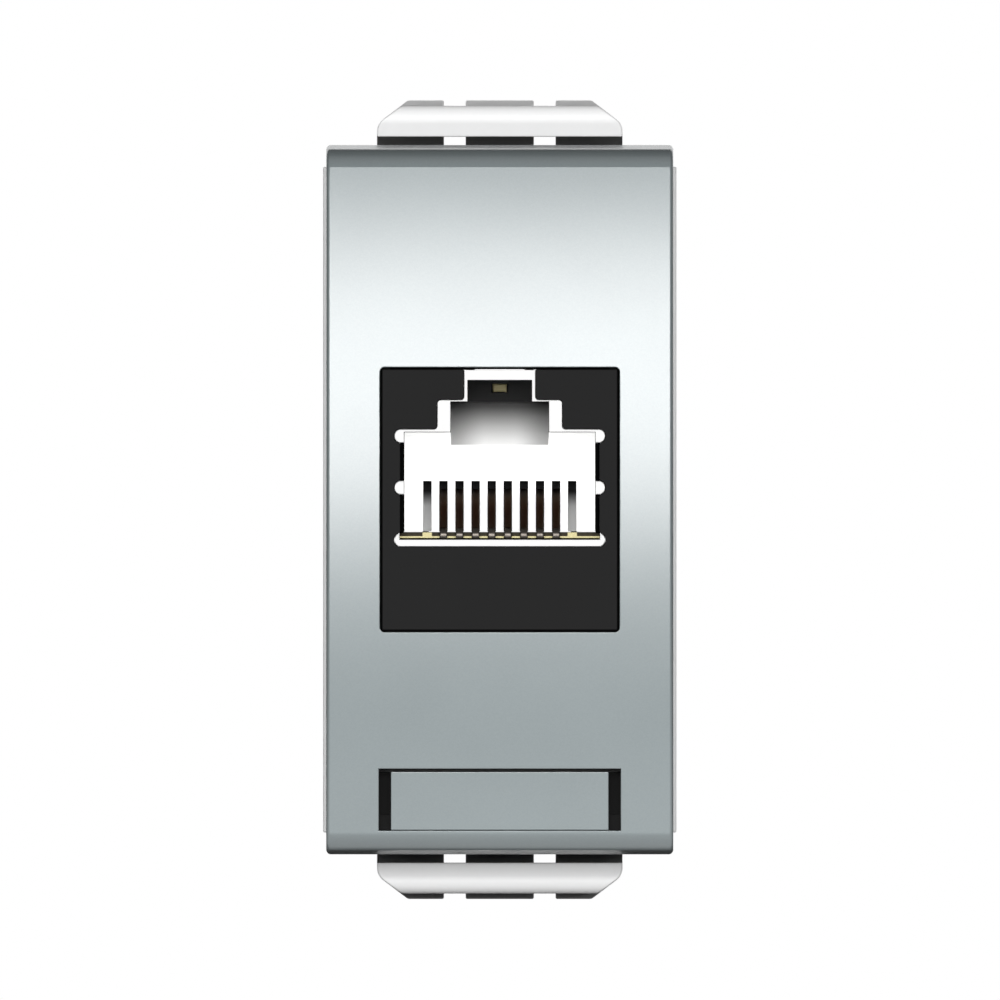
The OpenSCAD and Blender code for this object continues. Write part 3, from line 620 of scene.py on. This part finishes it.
def finish_piece(name, mesh, material, node):
    """Turns a bmesh into a piece that stands for a CAD node; tagged edges stay sharp."""
    for edge in mesh.edges:
        closed = len(edge.link_faces) == 2
        edge.smooth = not edge.tag and closed and edge.calc_face_angle() < SMOOTH
    for face in mesh.faces:
        face.smooth = True
    data = bpy.data.meshes.new(name)
    mesh.to_mesh(data)
    mesh.free()
    data.materials.append(material)
    piece = bpy.data.objects.new(name, data)
    bpy.context.scene.collection.objects.link(piece)
    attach(piece, BODY)
    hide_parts(node)
    return piece


def even_normals(piece, arcs=()):
    """Keeps area-weighted normals, and the true ones where the faces stand for an arc."""
    weights = piece.modifiers.new("Weighted normals", "WEIGHTED_NORMAL")
    weights.keep_sharp = True
    weights.use_face_influence = True
    shown = piece.evaluated_get(bpy.context.evaluated_depsgraph_get())
    normals = [corner.vector.copy() for corner in shown.data.corner_normals]
    piece.modifiers.remove(weights)
    for arc in arcs:
        arc_normals(piece.data, normals, *arc)
    piece.data.normals_split_custom_set(normals)


def arc_normals(data, normals, centre, radius, low, high):
    """Normals of a true cylinder along X, for the faces between two heights."""
    for face in data.polygons:
        if not low < face.center.z < high:
            continue
        for loop in face.loop_indices:
            place = data.vertices[data.loops[loop].vertex_index].co
            true = Vector((0.0, place.y - centre[0], place.z - centre[1]))
            off = abs(true.length - radius)
            if off < ON_ARC and face.normal.angle(true, 0.0) < ARC_TURN:
                normals[loop] = true.normalized()


def rounded_piece(node, name, material, width, segments):
    """A piece whose sharp edges are all rounded alike."""
    mesh = cad_copy(node)
    round_edges(mesh, sharp_edges(mesh), width, segments)
    even_normals(finish_piece(name, mesh, material, node))


def numbered_pieces(prefix, name, material, width, segments):
    """A row of like pieces, whose nodes have a number after the prefix."""
    for node in sorted(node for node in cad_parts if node.removeprefix(prefix).isdigit()):
        number = node.removeprefix(prefix)
        rounded_piece(node, f"{name}_{number}", material, width, segments)


def crown_faces(mesh, sizes):
    """Faces of the cover's crowned front, and the depth of the crown's centre."""
    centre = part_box("front_cover")[0][1] + sizes.crown_radius

    def off(vert):
        return abs(math.hypot(vert.co.y - centre, vert.co.z) - sizes.crown_radius)

    found = [
        face for face in mesh.faces
        if face.normal.y < -0.9 and max(off(vert) for vert in face.verts) < ON_CROWN
    ]
    if not found:
        raise RuntimeError("the cover's crowned face wasn't found")
    return found, centre


def bar_faces(mesh, sizes, side):
    """Faces of the front of one catch bar: the upper one for side 1, the lower one for -1."""
    rear = sizes.bar_front + sizes.bar_round
    found = [
        face for face in mesh.faces
        if face.normal.y < -0.1 and all(
            side * vert.co.z > sizes.bar_height and vert.co.y < rear for vert in face.verts
        )
    ]
    if not found:
        raise RuntimeError("the front of a catch bar wasn't found")
    return found


def bar_heights(sizes, slope, top):
    """Heights at which a bar is cut: even turns of its round part, then even steps below it."""
    radius, nose, strip = sizes.bar_round, sizes.bar_nose, sizes.bar_strip
    first, last = math.asin(slope), math.asin((top - nose) / radius)
    count = round(radius * (last - first) / strip)
    turns = [first + (last - first) * part / count for part in range(count)]
    heights = [nose + radius * math.sin(angle) for angle in turns]
    steps = int((heights[0] - sizes.bar_corner) / strip)
    return heights, [heights[0] - part * strip for part in range(1, 1 + steps)]


def even_bar(mesh, sizes, side):
    """Cuts a bar's front into even strips; those of its round part lie on the true arc."""
    centre, nose, radius = sizes.bar_front + sizes.bar_round, sizes.bar_nose, sizes.bar_round
    faces = bar_faces(mesh, sizes, side)
    slope = side * max(faces, key=lambda face: face.calc_area()).normal.z
    ends = [side * vert.co.z for vert in corners_of(faces)]
    foot, top = min(ends), max(ends)
    turned, sloping = bar_heights(sizes, slope, top)
    for height in (*turned, *sloping):
        cut_level(mesh, bar_faces(mesh, sizes, side), side * height, BAR_CUT)

    verts = corners_of(bar_faces(mesh, sizes, side))
    for vert in verts:
        if side * vert.co.z > turned[0]:
            vert.co.y = centre - math.sqrt(radius ** 2 - (side * vert.co.z - nose) ** 2)

    levels = (foot, top, *turned, *sloping)
    kept = [
        vert for vert in verts
        if min(abs(side * vert.co.z - level) for level in levels) < BAR_LEVEL
    ]
    bmesh.ops.weld_verts(mesh, targetmap={
        vert: min(kept, key=lambda other: (other.co - vert.co).length)
        for vert in verts if vert not in kept
    })
    bmesh.ops.dissolve_degenerate(mesh, edges=mesh.edges, dist=BAR_NIL)

    faces = bar_faces(mesh, sizes, side)
    own, rim = set(edges_of(faces)), set(corners_of(faces))
    chords = [edge for edge in mesh.edges if rim.issuperset(edge.verts) and edge not in own]
    bmesh.ops.dissolve_edges(mesh, use_verts=False, edges=chords)
    join_strips(mesh, faces)


class SOCKET_OT_cover(bpy.types.Operator):
    """Front cover: smooth crown, rounded edges, silver paint"""

    bl_idname = "socket.cover"
    bl_label = "Front cover"

    def execute(self, context):
        sizes, colours = context.scene.socket_sizes, context.scene.socket_colours
        radius, crease = sizes.crown_radius, sizes.crease_height
        mesh = cad_copy("front_cover")
        for level in range(1, int(2 * crease / sizes.crown_step)):
            faces, centre = crown_faces(mesh, sizes)
            cut_level(mesh, faces, level * sizes.crown_step - crease, NEAR)
        faces, centre = crown_faces(mesh, sizes)
        for vert in corners_of(faces):
            vert.co.y = centre - math.sqrt(radius ** 2 - vert.co.z ** 2)
        join_strips(mesh, faces)

        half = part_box("front_cover")[1][0]
        side = [
            edge for edge in sharp_edges(mesh)
            if all(abs(abs(vert.co.x) - half) < NEAR for vert in edge.verts)
            and any(face.normal.y < -0.05 for face in edge.link_faces)
        ]
        round_edges(mesh, side, sizes.cover_side, sizes.segments + 1)
        round_edges(mesh, sharp_edges(mesh), sizes.cover_edge, sizes.segments)
        for edge in mesh.edges:
            edge.tag = all(abs(vert.co.z - crease) < ON_CREASE for vert in edge.verts)
        paint = silver_paint("cover_silver_paint", colours.silver, colours.raw, radius)
        piece = finish_piece("cover_shell", mesh, paint, "front_cover")
        even_normals(piece, [((centre, 0.0), radius, CAD_BOX[0].z, crease)])
        return {"FINISHED"}


class SOCKET_OT_label(bpy.types.Operator):
    """Label tile in the cover's lower window"""

    bl_idname = "socket.label"
    bl_label = "Label tile"

    def execute(self, context):
        sizes, colours = context.scene.socket_sizes, context.scene.socket_colours
        paint = silver_paint(
            "label_silver_paint", colours.silver, colours.raw, sizes.crown_radius,
        )
        rounded_piece(
            "label_plate", "label_tile", paint, sizes.label_edge, sizes.segments,
        )
        return {"FINISHED"}


class SOCKET_OT_carrier(bpy.types.Operator):
    """Pale carrier with its snap clips"""

    bl_idname = "socket.carrier"
    bl_label = "Carrier"

    def execute(self, context):
        sizes, colours = context.scene.socket_sizes, context.scene.socket_colours
        bottom = sizes.bar_height

        def in_bar(edge):
            return all(
                abs(vert.co.z) > bottom and vert.co.y < sizes.bar_rear for vert in edge.verts
            )

        def is_front(face):
            return face.normal.y < -0.25 or abs(face.normal.z) > 0.95

        def is_end(face):
            return abs(face.normal.y) < 0.05 and abs(face.normal.x) > 0.3

        mesh = cad_copy("carrier")
        for side in (1, -1):
            even_bar(mesh, sizes, side)
        outline = [
            edge for edge in sharp_edges(mesh)
            if in_bar(edge) and any(map(is_front, edge.link_faces))
            and any(map(is_end, edge.link_faces))
        ]
        rounded = set(round_edges(mesh, outline, sizes.bar_edge, sizes.segments))
        others = [edge for edge in sharp_edges(mesh) if rounded.isdisjoint(edge.link_faces)]
        round_edges(mesh, others, sizes.carrier_edge, sizes.segments)

        # Painted shade in the hollows beneath the catch bars and behind the label tile.
        plastic = moulded_plastic(
            "carrier_plastic", colours.carrier, grain=0.25, gloss=0.45, level=0.5, depth=0.004,
            spread=0.02, painted_shade_mask=carrier_painted_shade,
        )
        piece = finish_piece("carrier_frame", mesh, plastic, "carrier")
        middle, radius, nose = sizes.bar_front + sizes.bar_round, sizes.bar_round, sizes.bar_nose
        even_normals(piece, [
            ((middle, nose), radius, bottom, 2 * bottom),
            ((middle, -nose), radius, -2 * bottom, -bottom),
        ])
        return {"FINISHED"}


class SOCKET_OT_jack(bpy.types.Operator):
    """Black jack housing"""

    bl_idname = "socket.jack"
    bl_label = "Jack"

    def execute(self, context):
        sizes, colours = context.scene.socket_sizes, context.scene.socket_colours
        # Painted shade on the jack's inside, deep within the port.
        plastic = moulded_plastic(
            "jack_plastic", colours.jack, grain=0.1, gloss=0.62, level=0.15, depth=0.01,
            spread=0.15, painted_shade_mask=jack_painted_shade,
        )
        rounded_piece(
            "jack_housing", "jack_shell", plastic, sizes.jack_edge, sizes.segments,
        )
        return {"FINISHED"}


class SOCKET_OT_port(bpy.types.Operator):
    """White port liner and contact comb"""

    bl_idname = "socket.port"
    bl_label = "Port"

    def execute(self, context):
        sizes, colours = context.scene.socket_sizes, context.scene.socket_colours
        looks = {"grain": 0.3, "gloss": 0.45, "level": 0.4, "depth": 0.003, "spread": 0.015}
        plastic = moulded_plastic("port_plastic", colours.white, **looks)
        rounded_piece(
            "port_liner", "port_sleeve", plastic, sizes.liner_edge, sizes.segments,
        )
        # The comb's plastic has painted shade in its pocket and slots, and a painted emission on
        # its front wall.
        plastic = moulded_plastic(
            "comb_plastic", colours.white, **looks, painted_shade_mask=comb_painted_shade, painted_emission_mask=comb_painted_emission,
        )
        rounded_piece(
            "contact_comb", "port_comb", plastic, sizes.comb_edge, sizes.segments,
        )
        return {"FINISHED"}


class SOCKET_OT_contacts(bpy.types.Operator):
    """Spring contacts and the shield between the pairs"""

    bl_idname = "socket.contacts"
    bl_label = "Contacts"

    def execute(self, context):
        sizes, colours = context.scene.socket_sizes, context.scene.socket_colours
        bronze = drawn_metal("contact_bronze", colours.bronze, 0.3, colours.bronze_edge)
        numbered_pieces(
            "contact_", "spring", bronze, sizes.wire_edge, sizes.segments,
        )
        brass = drawn_metal("shield_brass", colours.brass, 0.4)
        rounded_piece(
            "pair_shield", "shield_plate", brass, sizes.sheet_edge, sizes.segments,
        )
        return {"FINISHED"}


class SOCKET_OT_board(bpy.types.Operator):
    """Circuit board with its plated front edge"""

    bl_idname = "socket.board"
    bl_label = "Circuit board"

    def execute(self, context):
        sizes, colours = context.scene.socket_sizes, context.scene.socket_colours
        laminate = circuit_board("board_laminate", colours.laminate, colours.gold)
        rounded_piece(
            "contact_board", "board_sheet", laminate, sizes.sheet_edge, sizes.segments,
        )
        return {"FINISHED"}


class SOCKET_OT_terminals(bpy.types.Operator):
    """Terminal block, its blades and the wire caps"""

    bl_idname = "socket.terminals"
    bl_label = "Terminals"

    def execute(self, context):
        sizes, colours = context.scene.socket_sizes, context.scene.socket_colours
        plastic = moulded_plastic(
            "terminal_plastic", colours.terminal, grain=0.12, gloss=0.5, level=0.4, depth=0.006,
            spread=0.15,
        )
        rounded_piece(
            "idc_block", "terminal_rails", plastic, sizes.block_edge,
            sizes.segments,
        )
        tin = drawn_metal("blade_plating", colours.tin, 0.25)
        numbered_pieces(
            "idc_blade_", "blade", tin, sizes.sheet_edge, sizes.segments,
        )
        pearl = moulded_plastic(
            "cap_plastic", colours.pearl, grain=0.4, gloss=0.28, level=0.5, depth=0.003,
            spread=0.04,
        )
        for node, name in (("wire_cap_left", "cap_left"), ("wire_cap_right", "cap_right")):
            rounded_piece(node, name, pearl, sizes.cap_edge, sizes.segments)
        return {"FINISHED"}


# Stage


def softbox(name, lift, distance, width, height, power):
    """An area light before the socket, turned towards it."""
    lamp = bpy.data.lights.new(name, "AREA")
    lamp.shape = "RECTANGLE"
    lamp.size, lamp.size_y = width, height
    lamp.energy = power
    thing = bpy.data.objects.new(name, lamp)
    thing.location = (0.0, -distance * math.cos(lift), distance * math.sin(lift))
    thing.rotation_euler = (math.radians(90.0) - lift, 0.0, 0.0)
    thing.visible_camera = False
    bpy.context.scene.collection.objects.link(thing)
    return thing


def sheet(name, material, corners):
    """One flat face of the stage."""
    data = bpy.data.meshes.new(name)
    data.from_pydata(corners, [], [(0, 1, 2, 3)])
    data.materials.append(material)
    thing = bpy.data.objects.new(name, data)
    bpy.context.scene.collection.objects.link(thing)


def place_camera(scene, stage):
    """A camera square to the socket's face, as in the photograph."""
    camera = bpy.data.cameras.new("socket_camera")
    camera.type = "ORTHO"
    camera.ortho_scale = stage.frame_width
    viewer = bpy.data.objects.new("socket_camera", camera)
    viewer.location = (stage.centre_x, -stage.camera_distance, stage.centre_z)
    viewer.rotation_euler = (math.radians(90.0), 0.0, 0.0)
    scene.collection.objects.link(viewer)
    scene.camera = viewer


def place_lamps(stage):
    """A softbox above the camera, and a fill light that glossy paint doesn't mirror."""
    softbox(
        "key_softbox", stage.key_lift, stage.key_distance, stage.key_width, stage.key_height,
        stage.key_power,
    )
    fill = softbox(
        "fill_softbox", stage.fill_lift, stage.key_distance, stage.fill_width, stage.fill_height,
        stage.fill_power,
    )
    fill.visible_glossy = False


def light_room(scene, stage):
    """Even light from all sides: white to the camera, dim in glossy paint."""
    room = bpy.data.worlds.new("studio_room")
    room.use_nodes = True
    scene.world = room
    finish = Finish(room.node_tree)
    seen, mirrored = finish.ray("Is Camera Ray"), finish.ray("Is Glossy Ray")
    lift, drop = 1.0 - stage.ambient, stage.ambient - stage.dim
    strength = stage.ambient + lift * seen - drop * mirrored
    light = finish.node("ShaderNodeBackground", {}, {"Color": WHITE, "Strength": strength})
    finish.end(light, "ShaderNodeOutputWorld")


def lay_floor(stage):
    """Pale paper to the camera, grey to other light, bright in paint right before the socket."""
    material, finish = new_finish("floor_paper")
    seen, mirrored = finish.ray("Is Camera Ray"), finish.ray("Is Glossy Ray")
    back = finish.axis("Y")
    before = finish.step(back, *GLOW_START) * finish.fall(back, *GLOW_END)
    paper = finish.mix(seen, finish.matt(stage.floor_grey), finish.matt(stage.floor_pale))
    white = stage.floor_white * seen + stage.floor_glow * mirrored * before
    finish.end(finish.mix(white, paper, finish.light(1.0)))
    half, level = stage.floor_size / 2, CAD_BOX[0].z - stage.floor_gap
    sheet("studio_floor", material, [
        (-half, -half, level), (half, -half, level), (half, half, level), (-half, half, level),
    ])


def hang_panels(stage):
    """A white screen behind the socket and a pale ceiling panel above it."""
    side, far, top = stage.screen_width / 2, stage.screen_distance, stage.screen_height
    material, finish = new_finish("screen_white")
    finish.end(finish.light(1.0))
    sheet("studio_screen", material, [
        (-side, far, 0.0), (side, far, 0.0), (side, far, top), (-side, far, top),
    ])

    material, finish = new_finish("ceiling_panel")
    share, mirrored = stage.ceiling_share, finish.ray("Is Glossy Ray")
    finish.end(finish.light(stage.ceiling_glow * (share + (1.0 - share) * mirrored)))
    over, near = stage.ceiling_height, -stage.ceiling_depth
    sheet("studio_ceiling", material, [
        (-side, near, over), (side, near, over), (side, 0.0, over), (-side, 0.0, over),
    ])


class SOCKET_OT_stage(bpy.types.Operator):
    """Camera, softboxes, room light, floor and panels"""

    bl_idname = "socket.stage"
    bl_label = "Stage"

    def execute(self, context):
        scene, stage = context.scene, context.scene.socket_stage
        scene.view_settings.view_transform = "Standard"
        place_camera(scene, stage)
        place_lamps(stage)
        light_room(scene, stage)
        lay_floor(stage)
        hang_panels(stage)
        return {"FINISHED"}


class SOCKET_PT_panel(bpy.types.Panel):
    """Lists the steps that dress the socket"""

    bl_idname = "SOCKET_PT_panel"
    bl_label = "Data Socket"
    bl_space_type = "VIEW_3D"
    bl_region_type = "UI"
    bl_category = "Data Socket"

    def draw(self, context):
        for operator in OPERATORS:
            self.layout.operator(operator.bl_idname)


OPERATORS = (
    SOCKET_OT_stage, SOCKET_OT_cover, SOCKET_OT_label, SOCKET_OT_carrier, SOCKET_OT_jack,
    SOCKET_OT_port, SOCKET_OT_contacts, SOCKET_OT_board, SOCKET_OT_terminals,
)
GROUPS = {
    "socket_sizes": SocketSizes, "socket_colours": SocketColours, "socket_stage": SocketStage,
}


def register():
    for group in (*GROUPS.values(), *OPERATORS, SOCKET_PT_panel):
        bpy.utils.register_class(group)
    for name, group in GROUPS.items():
        setattr(bpy.types.Scene, name, PointerProperty(type=group))


def unregister():
    for name in GROUPS:
        delattr(bpy.types.Scene, name)
    for group in reversed((*GROUPS.values(), *OPERATORS, SOCKET_PT_panel)):
        bpy.utils.unregister_class(group)


def main():
    register()
    bpy.ops.socket.stage()
    bpy.ops.socket.cover()
    bpy.ops.socket.label()
    bpy.ops.socket.carrier()
    bpy.ops.socket.jack()
    bpy.ops.socket.port()
    bpy.ops.socket.contacts()
    bpy.ops.socket.board()
    bpy.ops.socket.terminals()


if __name__ == "__main__":
    main()
